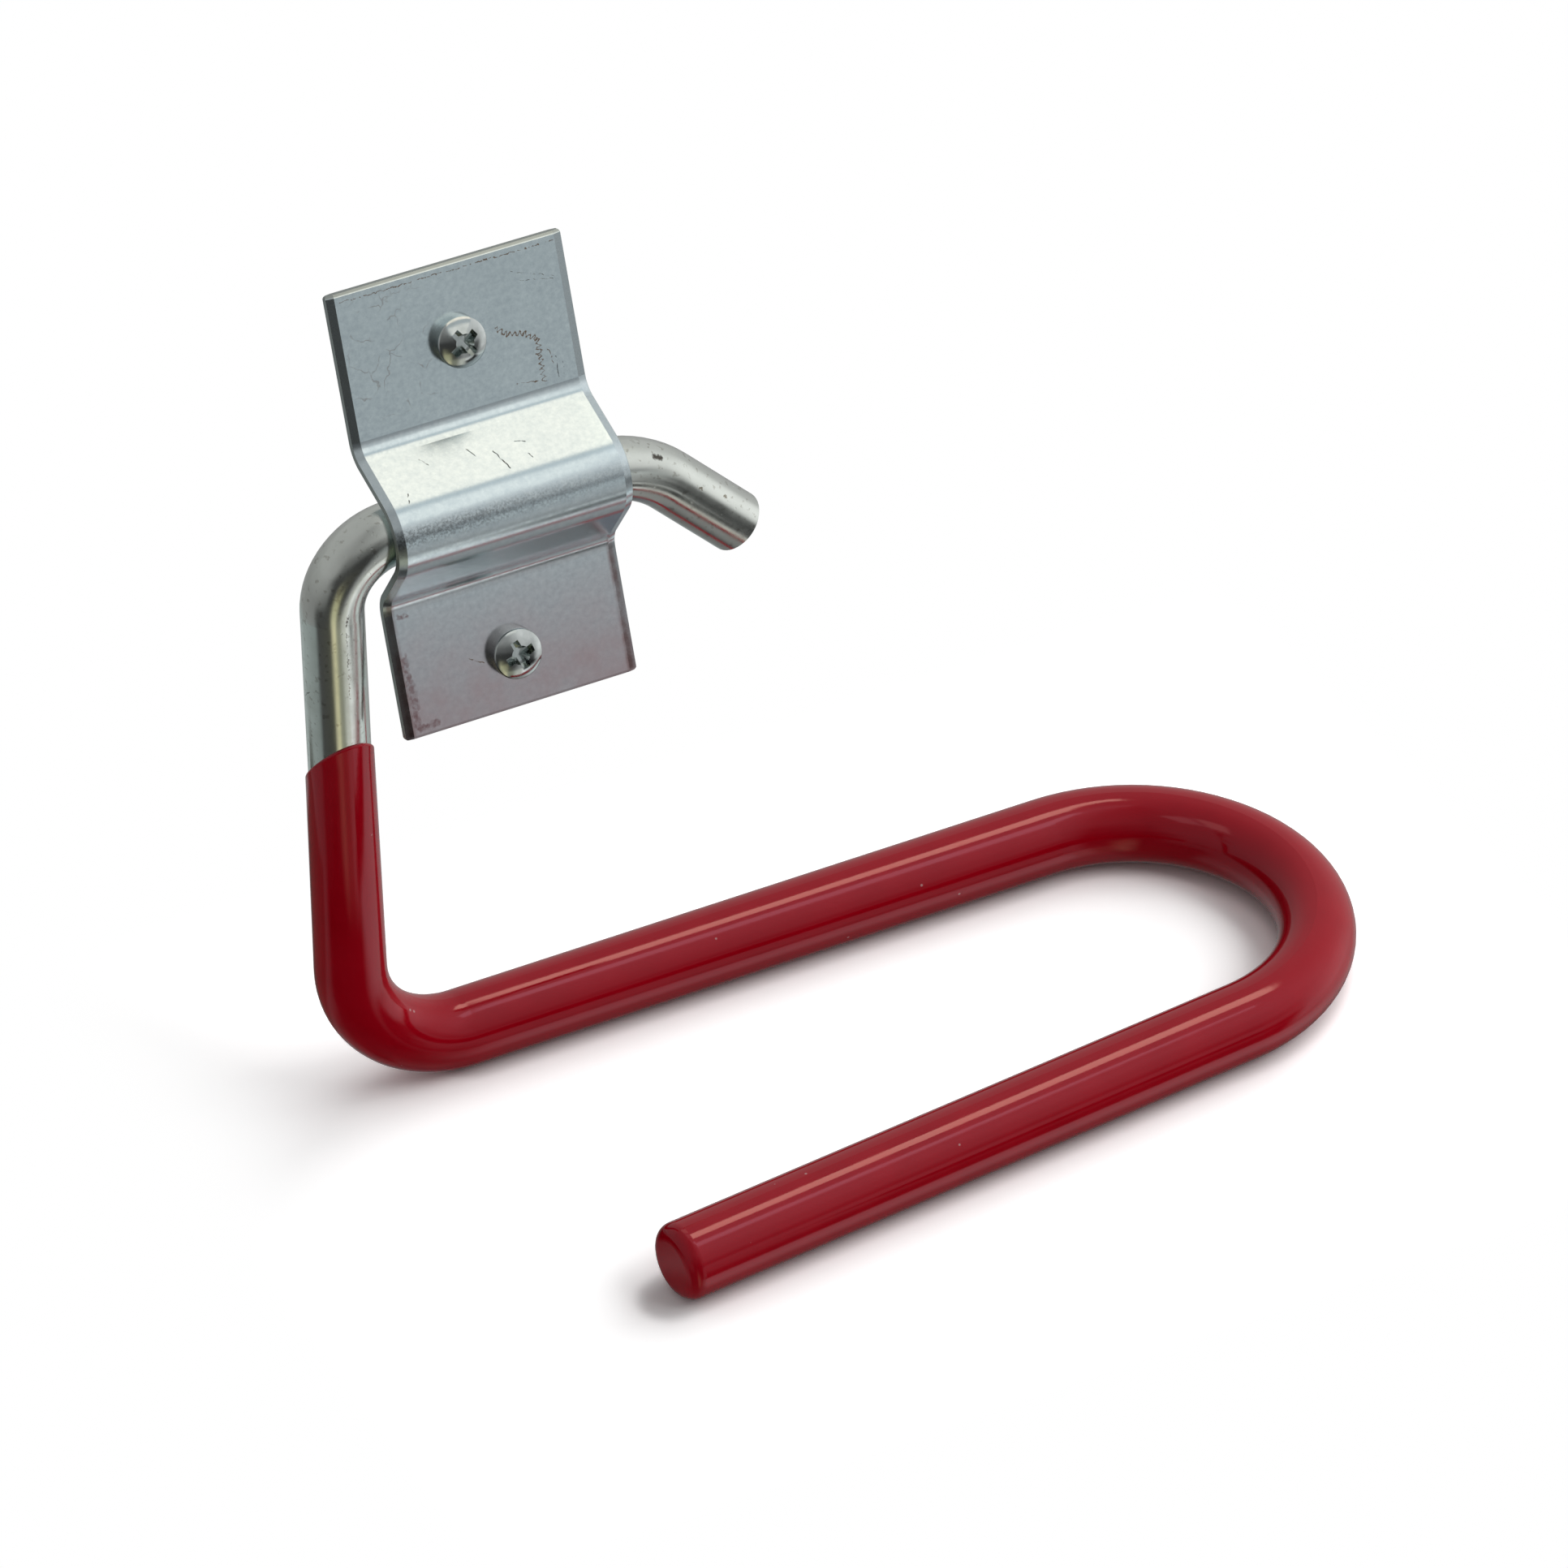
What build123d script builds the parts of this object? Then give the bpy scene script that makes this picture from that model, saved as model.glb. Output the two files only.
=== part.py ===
from build123d import *
import os
from math import cos, radians, sin, sqrt, tan

# Folding ski holder: a bent rod hook with a dipped plastic grip, turning in a saddle bracket
# Frame: origin on the wall face midway between the two screws, X along the pivot, Z up, leg upright

# Rod, sizes on its centre line
rod_diameter = 10.0
leg_length = 98.0
top_bend_radius = 11.0
bottom_bend_radius = 19.0
back_bar_length = 125.0
u_bend_radius = 29.5
mouth_splay = 6.0
front_bar_length = 106.5
tail_bend_radius = 20.0
tail_drop = 45.0
tail_length = 25.0
rod_end_chamfer = 0.5

# Grip coat, thickness over the rod
bar_coat = 1.35
leg_coat_foot = 0.8
leg_coat_rim = 0.45
end_coat = 2.0
end_rounding = 2.4
rim_rounding = 0.3
dip_height = 58.8
dip_tilt = 50.0

# Saddle bracket, folded from one strip of sheet
sheet_thickness = 1.8
bracket_width = 40.0
top_margin = 12.4
bottom_margin = 9.1
slope_angle = 53.0
fold_radius = 3.6
corner_radius = 0.5
edge_roll_depth = 0.35
side_roll_width = 1.3
end_roll_width = 0.5
bracket_lean = 18.0

# Fits between the rod, the saddle and the wall
saddle_clearance = 1.0
bend_drop = 0.65
wall_gap = 0.3

# Screws
screw_pitch = 51.0
screw_diameter = 4.2
screw_neck_diameter = 3.1
screw_length = 20.0
screw_point = 5.0
screw_hole_clearance = 0.6
head_diameter = 8.2
head_height = 3.1
head_crown = 1.15
head_shoulder = 0.45
recess_span = 5.0
recess_wing = 1.5
recess_depth = 2.1
recess_taper = 12.0
recess_core = 3.2
recess_turns = (34.0, 17.0)

# Worked out from the sizes above
rod_radius = rod_diameter / 2
saddle_radius = rod_radius + saddle_clearance
axis_height = rod_radius + wall_gap
top_end = screw_pitch / 2 + top_margin
bottom_end = screw_pitch / 2 + bottom_margin
lean = radians(bracket_lean)


def overlap_on_bend(bend_radius):
    """Length of bend that the saddle may cover before the bend's inside drops too far."""
    inside = bend_radius - rod_radius
    return sqrt(2 * inside * bend_drop - bend_drop**2)


# The saddle's ends reach just onto the top bend and the tail bend
leg_to_saddle = top_bend_radius - overlap_on_bend(top_bend_radius)
tail_bend_start = leg_to_saddle + bracket_width - overlap_on_bend(tail_bend_radius)
tail_corner_reach = tail_bend_start + tail_bend_radius * tan(radians(tail_drop) / 2)

# Where the leg's axis meets the pivot's axis, and the bracket's own plane on the wall face
outward = Vector(0, -cos(lean), sin(lean))
pivot_point = outward * axis_height
hook_corner = pivot_point - Vector(leg_to_saddle + bracket_width / 2, 0, 0)
bracket_plane = Plane(origin=(0, 0, 0), x_dir=(1, 0, 0), z_dir=outward)


def corner_arc(before, corner, after, radius):
    """Arc that rounds the corner between two straight runs of the rod."""
    back = (before - corner).normalized()
    ahead = (after - corner).normalized()
    half = radians(back.get_angle(ahead)) / 2
    reach = radius / tan(half)
    centre = corner + (back + ahead).normalized() * (radius / sin(half))
    middle = centre + (corner - centre).normalized() * radius
    return ThreePointArc(corner + back * reach, middle, corner + ahead * reach)


# Corners of the rod's centre line, from the tail round to the free end
tail_way = Vector(cos(radians(tail_drop)), 0, -sin(radians(tail_drop)))
tail_corner = hook_corner + Vector(tail_corner_reach, 0, 0)
tail_end = tail_corner + tail_way * tail_length
foot_corner = hook_corner - Vector(0, 0, leg_length)
u_start = foot_corner + Vector(back_bar_length, 0, 0)
u_centre = u_start - Vector(0, u_bend_radius, 0)


def on_u_bend(turned):
    """Point of the U bend's centre line after a turn in degrees from the back bar."""
    return u_centre + Vector(sin(radians(turned)), cos(radians(turned)), 0) * u_bend_radius


u_turn = 180 - mouth_splay
front_way = Vector(cos(radians(u_turn)), -sin(radians(u_turn)), 0)
front_start = on_u_bend(u_turn)
front_end = front_start + front_way * front_bar_length

# Runs and bends of the centre line
tail_bend = corner_arc(tail_end, tail_corner, hook_corner, tail_bend_radius)
top_bend = corner_arc(tail_corner, hook_corner, foot_corner, top_bend_radius)
bottom_bend = corner_arc(hook_corner, foot_corner, u_start, bottom_bend_radius)
u_bend = ThreePointArc(u_start, on_u_bend(u_turn / 2), front_start)
tail_run = Line(tail_end, tail_bend @ 0)
pivot_run = Line(tail_bend @ 1, top_bend @ 0)
leg_run = Line(top_bend @ 1, bottom_bend @ 0)
back_run = Line(bottom_bend @ 1, u_start)


def disc_across(path, place, radius):
    """Round section set square across a path."""
    return Plane(path @ place, z_dir=path % place) * Circle(radius)


def end_rim(bar, end):
    """Edge round the flat end of a bar."""
    return bar.faces().sort_by_distance(end)[0].outer_wire().edges()


def make_hook_rod():
    """The whole bent rod, with its two cut ends chamfered."""
    front_run = Line(front_start, front_end)
    runs = [tail_run, tail_bend, pivot_run, top_bend, leg_run, bottom_bend, back_run, u_bend, front_run]
    rod = sweep(disc_across(tail_run, 0, rod_radius), path=Wire(runs))
    return chamfer(end_rim(rod, tail_end) + end_rim(rod, front_end), rod_end_chamfer)


def make_grip_coat(rod):
    """Dipped skin: thin at its slanted edge on the leg, thicker down to the bars, closed at the end."""
    # Leg, a slight cone that runs past the dip line and is cut off there
    leg_foot = bottom_bend @ 0
    foot_radius = rod_radius + leg_coat_foot
    rim_radius = rod_radius + leg_coat_rim
    rim_height = dip_height - bottom_bend_radius
    leg_top = rim_height + 2 * foot_radius * tan(radians(dip_tilt))
    top_radius = foot_radius + (rim_radius - foot_radius) * leg_top / rim_height
    leg = loft([Plane(leg_foot) * Circle(foot_radius), Plane(leg_foot).offset(leg_top) * Circle(top_radius)])
    dip_plane = Plane(foot_corner + Vector(0, 0, dip_height)).rotated((-dip_tilt, 0, 0))
    leg = split(leg, bisect_by=dip_plane, keep=Keep.BOTTOM)
    rim = leg.edges().filter_by(GeomType.CIRCLE, reverse=True).sort_by(Axis.Z)[-1]
    leg = fillet(rim, rim_rounding)

    # Bottom bend, growing to the bars' thickness
    bar_radius = rod_radius + bar_coat
    bend_ends = [disc_across(bottom_bend, 0, foot_radius), disc_across(bottom_bend, 1, bar_radius)]
    bend = sweep(bend_ends, path=bottom_bend, multisection=True)

    # Bars and U bend, with the free end closed and rounded
    coat_end = front_end + front_way * end_coat
    bar_runs = Wire([back_run, u_bend, Line(front_start, coat_end)])
    bars = sweep(disc_across(back_run, 0, bar_radius), path=bar_runs)
    bars = fillet(end_rim(bars, coat_end), end_rounding)
    return leg + bend + bars - rod


def sheet_half(depth, flange_end):
    """Edges of one face of the sheet, a depth in front of the wall face, from a flange's end to the nose."""
    slope = radians(slope_angle)
    fold_centre = sheet_thickness + fold_radius
    fold = fold_centre - depth
    nose = saddle_radius + depth
    fold_up = (nose + fold - (fold_centre - axis_height) * cos(slope)) / sin(slope)
    fold_start = (fold_up, depth)
    fold_middle = (fold_up - fold * sin(slope / 2), fold_centre - fold * cos(slope / 2))
    fold_end = (fold_up - fold * sin(slope), fold_centre - fold * cos(slope))
    nose_start = (nose * sin(slope), axis_height + nose * cos(slope))
    flange = Line((flange_end, depth), fold_start)
    bend = ThreePointArc(fold_start, fold_middle, fold_end)
    side = Line(fold_end, nose_start)
    return [flange, bend, side]


def sheet_skin(depth):
    """Edges of one face of the folded sheet, a depth in front of the wall face."""
    upper = sheet_half(depth, top_end)
    lower = [mirror(edge, about=Plane.YZ) for edge in sheet_half(depth, bottom_end)]
    nose_start = upper[-1] @ 1
    nose_top = (0, axis_height + saddle_radius + depth)
    nose = ThreePointArc(nose_start, nose_top, (-nose_start.X, nose_start.Y))
    return upper + lower + [nose]


def screw_places():
    """Screw centres on the wall face, upper one first."""
    return [(0, screw_pitch / 2), (0, -screw_pitch / 2)]


def roll_edges(strip, axis, width):
    """Bevel the front edges at both ends of the strip along an axis, as the shear presses them."""
    for end in (0, -1):
        end_face = strip.faces().filter_by(axis).sort_by(axis)[end]
        flat_ends = end_face.edges().filter_by(Axis.Z)
        front_edges = (end_face.edges() - flat_ends).sort_by(Axis.Z)
        strip = strip.chamfer(edge_roll_depth, width, front_edges, end_face)
    return strip


def make_saddle_bracket():
    """Hat-section strip with two screw holes and its front edges rolled over by the shear."""
    wall_skin = sheet_skin(0)
    front_skin = sheet_skin(sheet_thickness)
    ends = [Line((end, 0), (end, sheet_thickness)) for end in (top_end, -bottom_end)]
    section = make_face(wall_skin + front_skin + ends)
    strip = extrude(Plane.YZ * section, amount=bracket_width / 2, both=True)
    strip = roll_edges(strip, Axis.X, side_roll_width)
    strip = roll_edges(strip, Axis.Y, end_roll_width)
    strip = fillet(strip.edges().filter_by(Axis.Z), corner_radius)
    hole_radius = (screw_diameter + screw_hole_clearance) / 2
    hole = extrude(Circle(hole_radius), amount=sheet_thickness)
    for place in screw_places():
        strip -= Pos(*place) * hole
    return bracket_plane.location * strip


def make_screw(recess_turn):
    """Pan-head tapping screw with its head's underside at zero and its shank pointing down."""
    head_radius = head_diameter / 2
    shank_radius = screw_diameter / 2
    neck_radius = screw_neck_diameter / 2
    crown_foot = (head_radius, head_height - head_crown)
    outline = [
        Line((0, 0), (head_radius, 0)),
        Line((head_radius, 0), crown_foot),
        TangentArc((0, head_height), crown_foot, tangent=(1, 0)),
        Line((0, head_height), (0, 0)),
    ]
    head = revolve(Plane.XZ * make_face(outline), axis=Axis.Z)
    shoulder = head.edges().filter_by(GeomType.CIRCLE).filter_by(Plane.XY).sort_by(Axis.Z)[-1]
    head = fillet(shoulder, head_shoulder)
    cross = Rectangle(recess_span, recess_wing) + Rectangle(recess_wing, recess_span)
    recess = extrude(Pos(0, 0, head_height) * cross, amount=-recess_depth, taper=recess_taper)
    core = Pos(0, 0, head_height - recess_depth / 2) * Cone(recess_wing / 2, recess_core / 2, recess_depth)
    shank_outline = Polyline(
        (0, 0),
        (neck_radius, 0),
        (neck_radius, -sheet_thickness),
        (shank_radius, -sheet_thickness),
        (shank_radius, screw_point - screw_length),
        (0, -screw_length),
        close=True,
    )
    shank = revolve(Plane.XZ * make_face(shank_outline), axis=Axis.Z)
    return Rot(0, 0, recess_turn) * (head - recess - core + shank)


def make_mounting_screws():
    """Two screws seated on the front of the flanges."""
    screws = []
    for place, recess_turn in zip(screw_places(), recess_turns):
        seat = Pos(place[0], place[1], sheet_thickness)
        screws.append(bracket_plane.location * seat * make_screw(recess_turn))
    return Compound(children=screws)


hook_rod = make_hook_rod()
nodes = {
    "hook_rod": hook_rod,
    "grip_coat": make_grip_coat(hook_rod),
    "saddle_bracket": make_saddle_bracket(),
    "mounting_screws": make_mounting_screws(),
}

os.makedirs("parts", exist_ok=True)
for name, shape in nodes.items():
    export_step(shape, f"parts/{name}.step")
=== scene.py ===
import logging
import math
from abc import ABC, abstractmethod
from dataclasses import dataclass
from enum import Enum
from typing import Any, Callable, Mapping, Optional, Sequence

import bmesh
import bpy
from mathutils import Matrix, Quaternion, Vector


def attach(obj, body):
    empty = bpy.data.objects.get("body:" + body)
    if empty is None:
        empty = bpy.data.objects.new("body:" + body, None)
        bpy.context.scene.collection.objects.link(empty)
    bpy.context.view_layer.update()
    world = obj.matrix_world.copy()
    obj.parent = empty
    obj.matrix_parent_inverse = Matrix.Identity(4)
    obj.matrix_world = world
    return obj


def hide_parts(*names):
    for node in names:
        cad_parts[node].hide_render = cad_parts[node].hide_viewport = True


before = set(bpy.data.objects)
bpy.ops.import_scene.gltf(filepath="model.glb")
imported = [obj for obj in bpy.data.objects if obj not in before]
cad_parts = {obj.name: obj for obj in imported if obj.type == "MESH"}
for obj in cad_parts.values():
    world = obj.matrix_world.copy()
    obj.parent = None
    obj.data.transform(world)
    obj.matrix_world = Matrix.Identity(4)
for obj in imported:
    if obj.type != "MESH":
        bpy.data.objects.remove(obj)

# Looks of a folding ski holder: a bent rod hook with a dipped grip, in a screw-on saddle bracket
MM = 0.001
PER_MM = (1 / MM, 1 / MM, 1 / MM)
WHITE = "#FFFFFF"
# The bracket's lean and the thickness of its sheet, which its finish and its screws both follow
LEAN_DEG = 18.0
SHEET_MM = 1.8
# Where most of a noise's values lie, and its middle
NOISE_SPAN = (0.3, 0.7)
NOISE_MIDDLE = (0.5, 0.5, 0.5)
LOG = logging.getLogger("ski_holder")
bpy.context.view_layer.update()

Colour = tuple[float, float, float, float]
Point = tuple[float, float, float]
Pair = tuple[float, float]
Tree = bpy.types.NodeTree
Socket = bpy.types.NodeSocket


class Body(Enum):
    """Bodies that a piece can ride on."""

    HOOK = "hook"
    BRACKET = "bracket"


class MarkKind(Enum):
    """What has marked a surface."""

    SCRATCH = "scratch"
    STAIN = "stain"
    RUST = "rust"


class Face(Enum):
    """Face that a mark lies on."""

    FLANGE = "bracket's flange"
    SLOPE = "bracket's upper slope"
    LEG = "rod's leg"
    TAIL = "rod's tail"


def linear(code: str) -> Colour:
    """Turn an sRGB hex colour into linear light.

    Args:
        code: Six hex digits after a hash sign.

    Returns:
        Linear red, green and blue, with full alpha.
    """
    channels = [int(code[place:place + 2], 16) / 255 for place in (1, 3, 5)]
    red, green, blue = (c / 12.92 if c <= 0.04045 else ((c + 0.055) / 1.055) ** 2.4 for c in channels)
    return red, green, blue, 1.0


def add_node(
    tree: Tree,
    kind: str,
    inputs: Optional[Mapping[int | str, Any]] = None,
    stops: Sequence[tuple[float, Colour]] = (),
    **settings: Any,
) -> bpy.types.Node:
    """Add a node with its settings, values and links.

    Args:
        tree: Node tree that gets the node.
        kind: Blender's name of the node type, without ShaderNode in front.
        inputs: Values or output sockets for the inputs, by name or number.
        stops: Places and colours of a colour ramp.
        settings: The node's own properties.

    Returns:
        The new node.
    """
    node = tree.nodes.new("ShaderNode" + kind)
    for name, value in settings.items():
        setattr(node, name, value)
    for key, value in (inputs or {}).items():
        if isinstance(value, Socket):
            tree.links.new(value, node.inputs[key])
        else:
            node.inputs[key].default_value = value
    for number, (place, colour) in enumerate(stops):
        ramp = node.color_ramp.elements
        stop = ramp[number] if number < 2 else ramp.new(place)
        stop.position = place
        stop.color = colour
    return node


def between(tree: Tree, value: Socket, least: float, most: float, soft: float) -> Socket:
    """Mark where a value lies between two others.

    Args:
        tree: Node tree that gets the nodes.
        value: The value that is looked at.
        least: Lower limit.
        most: Upper limit.
        soft: Half-width of the soft step at each limit.

    Returns:
        A socket that is 1 between the limits and 0 outside them.
    """
    rise, fall = (add_node(tree, "MapRange", {
        "Value": value, "From Min": start, "From Max": end}, interpolation_type="SMOOTHSTEP").outputs["Result"]
        for start, end in ((least - soft, least + soft), (most + soft, most - soft)))
    return add_node(tree, "Math", {0: rise, 1: fall}, operation="MULTIPLY").outputs[0]


@dataclass(frozen=True)
class Finish(ABC):
    """A surface finish, which makes one material."""

    name: str

    def material(self) -> bpy.types.Material:
        """Make the material.

        Returns:
            A material with this finish's nodes.
        """
        material = bpy.data.materials.new(self.name)
        material.use_nodes = True
        tree = material.node_tree
        tree.nodes.clear()
        add_node(tree, "OutputMaterial", {"Surface": self.surface(tree)})
        return material

    @abstractmethod
    def surface(self, tree: Tree) -> Socket:
        """Add the finish's nodes and return its shader socket."""


# In the finishes an edge is where a noise starts to show and where it shows in full, a swing is added to a level
# at a noise's low and high end, and a shake is how many there are per mm and how wide they are in mm
@dataclass(frozen=True)
class DippedVinyl(Finish):
    """Soft vinyl, dipped and baked: deep red and glossy, with slight waves and a little dust."""

    name: str = "soft vinyl, dipped and baked"
    red: str = "#9A0114"
    red_deep: str = "#8B0110"
    dust: str = "#C9B4B2"
    sheen: str = "#FFC8D7"
    roughness: float = 0.09
    gloss_swing: Pair = (-0.02, 0.03)
    ior: float = 1.53
    wave_mm: float = 7.0
    wave_depth_mm: float = 0.05
    peel_mm: float = 1.6
    peel_depth_mm: float = 0.02
    bump: float = 0.25
    dust_mm: float = 6.5
    dust_edge: Pair = (0.04, 0.025)
    dust_share: float = 0.45

    def surface(self, tree: Tree) -> Socket:
        """Add the vinyl's nodes.

        Args:
            tree: The material's node tree.

        Returns:
            The shader socket.
        """
        place = add_node(tree, "TexCoord").outputs["Object"]
        waves, peel = (add_node(tree, "TexNoise", {
            "Vector": place, "Scale": 1 / (size * MM), "Detail": detail}).outputs["Fac"]
            for size, detail in ((self.wave_mm, 3.0), (self.peel_mm, 2.0)))
        grains = add_node(tree, "TexVoronoi", {"Vector": place, "Scale": 1 / (self.dust_mm * MM)})
        specks = add_node(tree, "MapRange", {
            "Value": grains.outputs["Distance"], "From Min": self.dust_edge[0], "From Max": self.dust_edge[1],
            "To Max": self.dust_share}).outputs["Result"]
        tone = add_node(tree, "Mix", {
            0: waves, 6: linear(self.red_deep), 7: linear(self.red)}, data_type="RGBA").outputs[2]
        dusty = add_node(tree, "Mix", {0: specks, 6: tone, 7: linear(self.dust)}, data_type="RGBA").outputs[2]
        gloss = add_node(tree, "MapRange", {
            "Value": waves, "From Min": NOISE_SPAN[0], "From Max": NOISE_SPAN[1],
            "To Min": self.roughness + self.gloss_swing[0], "To Max": self.roughness + self.gloss_swing[1]})
        swell = add_node(tree, "Bump", {"Height": waves, "Strength": self.bump, "Distance": self.wave_depth_mm * MM})
        skin = add_node(tree, "Bump", {
            "Height": peel, "Normal": swell.outputs["Normal"], "Strength": self.bump,
            "Distance": self.peel_depth_mm * MM})
        return add_node(tree, "BsdfPrincipled", {
            "Base Color": dusty, "Roughness": gloss.outputs["Result"], "IOR": self.ior,
            "Specular Tint": linear(self.sheen), "Normal": skin.outputs["Normal"]}).outputs["BSDF"]


@dataclass(frozen=True)
class Mark:
    """A scratch, stain or rust mark between two places on a face, in mm.

    A place is across and up a flange, across and down the slope, or round and along the rod from its front line.
    """

    start: Pair
    end: Pair
    width: float = 0.22
    kind: MarkKind = MarkKind.SCRATCH
    face: Face = Face.FLANGE
    curl: float = 0.0
    curl_pitch: float = 0.85


SHEET_MARKS = (
    Mark((-3.5, 4.5), (-2.5, 6.5), face=Face.SLOPE),
    Mark((0.5, 6.5), (1.5, 10.5), 0.26, face=Face.SLOPE),
    Mark((5.0, 8.0), (6.0, 10.5), face=Face.SLOPE),
    Mark((4.5, 6.0), (6.0, 6.5), face=Face.SLOPE),
    Mark((-15.5, 9.5), (-16.5, 12.5), face=Face.SLOPE),
    Mark((-11.0, 4.0), (-10.0, 5.5), face=Face.SLOPE),
    Mark((9.5, 34.0), (17.5, 31.0), 0.12),
    Mark((11.0, 32.0), (18.0, 30.5), 0.12),
    Mark((15.5, 18.5), (15.5, 15.0), 0.16),
    Mark((16.5, 17.5), (16.5, 15.5), 0.14),
    Mark((6.5, 25.5), (8.5, 24.0), 0.5, MarkKind.STAIN, curl=0.35),
    Mark((8.5, 24.0), (11.0, 23.5), 0.5, MarkKind.STAIN, curl=0.3),
    Mark((11.0, 23.5), (13.0, 22.0), 0.5, MarkKind.STAIN, curl=0.35),
    Mark((13.0, 22.0), (13.0, 19.5), 0.5, MarkKind.STAIN, curl=0.4),
    Mark((13.0, 19.5), (13.0, 15.0), 0.4, MarkKind.STAIN, curl=0.3),
    Mark((8.5, 16.0), (12.0, 15.5), 0.2, MarkKind.STAIN),
    Mark((14.5, 20.0), (15.0, 17.5), 0.2, MarkKind.STAIN),
    Mark((-18.5, 36.5), (18.5, 36.5), 0.2, MarkKind.STAIN),
    Mark((-7.5, -24.5), (-5.0, -26.0), 0.25, MarkKind.STAIN),
    Mark((-18.0, -21.5), (-18.0, -25.0), 1.3, MarkKind.RUST),
    Mark((-18.0, -25.5), (-17.5, -29.5), 1.9, MarkKind.RUST),
    Mark((-18.0, -29.0), (-17.5, -33.0), 1.6, MarkKind.RUST),
    Mark((-17.5, -33.0), (-14.5, -33.0), 1.2, MarkKind.RUST),
    Mark((-18.0, -14.5), (-16.5, -15.0), 0.9, MarkKind.RUST),
)
ROD_MARKS = (
    Mark((4.5, 9.0), (4.5, 10.0), 1.2, face=Face.TAIL),
    Mark((2.5, 18.0), (2.5, 18.5), 0.6, MarkKind.STAIN, Face.TAIL),
    Mark((3.5, 23.5), (3.5, 24.0), 0.6, MarkKind.STAIN, Face.TAIL),
    Mark((0.5, 9.0), (0.0, 11.0), 0.3, face=Face.LEG),
    Mark((0.0, 12.0), (0.0, 15.0), 0.24, face=Face.LEG),
    Mark((0.0, 16.0), (0.0, 19.0), 0.22, face=Face.LEG),
    Mark((0.0, 20.0), (0.0, 24.5), 0.2, MarkKind.STAIN, Face.LEG),
    Mark((-8.5, 25.5), (-7.0, 24.0), 0.3, face=Face.LEG),
)


def draw_marks(
    tree: Tree, place: Socket, marks: tuple[Mark, ...], kind: MarkKind, point: Callable[[Face, Pair], Vector]
) -> Socket:
    """Draw all marks of one kind.

    Args:
        tree: The material's node tree.
        place: Place on the surface, in mm.
        marks: The marks, of which there is at least one of that kind.
        kind: Which marks are drawn.
        point: Finds a mark's places on its face, in the same frame as place.

    Returns:
        A socket that is 1 on a mark and 0 off it.
    """
    total: Optional[Socket] = None
    for mark in (mark for mark in marks if mark.kind is kind):
        start = point(mark.face, mark.start)
        span = point(mark.face, mark.end) - start
        offset = add_node(tree, "VectorMath", {0: place, 1: start}, operation="SUBTRACT")
        along = add_node(tree, "VectorMath", {
            0: offset.outputs["Vector"], 1: span / span.length_squared}, operation="DOT_PRODUCT")
        share = add_node(tree, "Math", {0: along.outputs["Value"], 1: 1.0}, operation="MULTIPLY", use_clamp=True)
        foot = add_node(tree, "VectorMath", {0: span, "Scale": share.outputs[0]}, operation="SCALE")
        if mark.curl:
            side = Vector((-span.y, span.x, 0)).normalized() * mark.curl
            swing = add_node(tree, "Math", {
                0: share.outputs[0], 1: math.tau * span.length / mark.curl_pitch}, operation="MULTIPLY")
            sway = add_node(tree, "Math", {0: swing.outputs[0]}, operation="SINE").outputs[0]
            aside = add_node(tree, "VectorMath", {0: side, "Scale": sway}, operation="SCALE").outputs["Vector"]
            foot = add_node(tree, "VectorMath", {0: foot.outputs["Vector"], 1: aside}, operation="ADD")
        away = add_node(tree, "VectorMath", {
            0: offset.outputs["Vector"], 1: foot.outputs["Vector"]}, operation="DISTANCE")
        line = add_node(tree, "MapRange", {
            "Value": away.outputs["Value"], "From Min": mark.width / 2, "From Max": mark.width / 5})
        if total is None:
            total = line.outputs["Result"]
        else:
            total = add_node(tree, "Math", {0: total, 1: line.outputs["Result"]}, operation="MAXIMUM").outputs[0]
    return total


def shaken(tree: Tree, place: Socket, scale: float, throw: float, detail: float = 2.0) -> Socket:
    """Shift places a little, so that straight marks come out as drawn by hand.

    Args:
        tree: The material's node tree.
        place: Place on the surface, in mm.
        scale: Shakes per mm.
        throw: Width of the band that a place can shift in, in mm.
        detail: How ragged the shakes are.

    Returns:
        The shifted place.
    """
    shake = add_node(tree, "TexNoise", {"Vector": place, "Scale": scale, "Detail": detail})
    offset = add_node(tree, "VectorMath", {0: shake.outputs["Color"], 1: NOISE_MIDDLE}, operation="SUBTRACT")
    return add_node(tree, "VectorMath", {
        0: offset.outputs["Vector"], 1: (throw, throw, throw), 2: place}, operation="MULTIPLY_ADD").outputs["Vector"]


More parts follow.
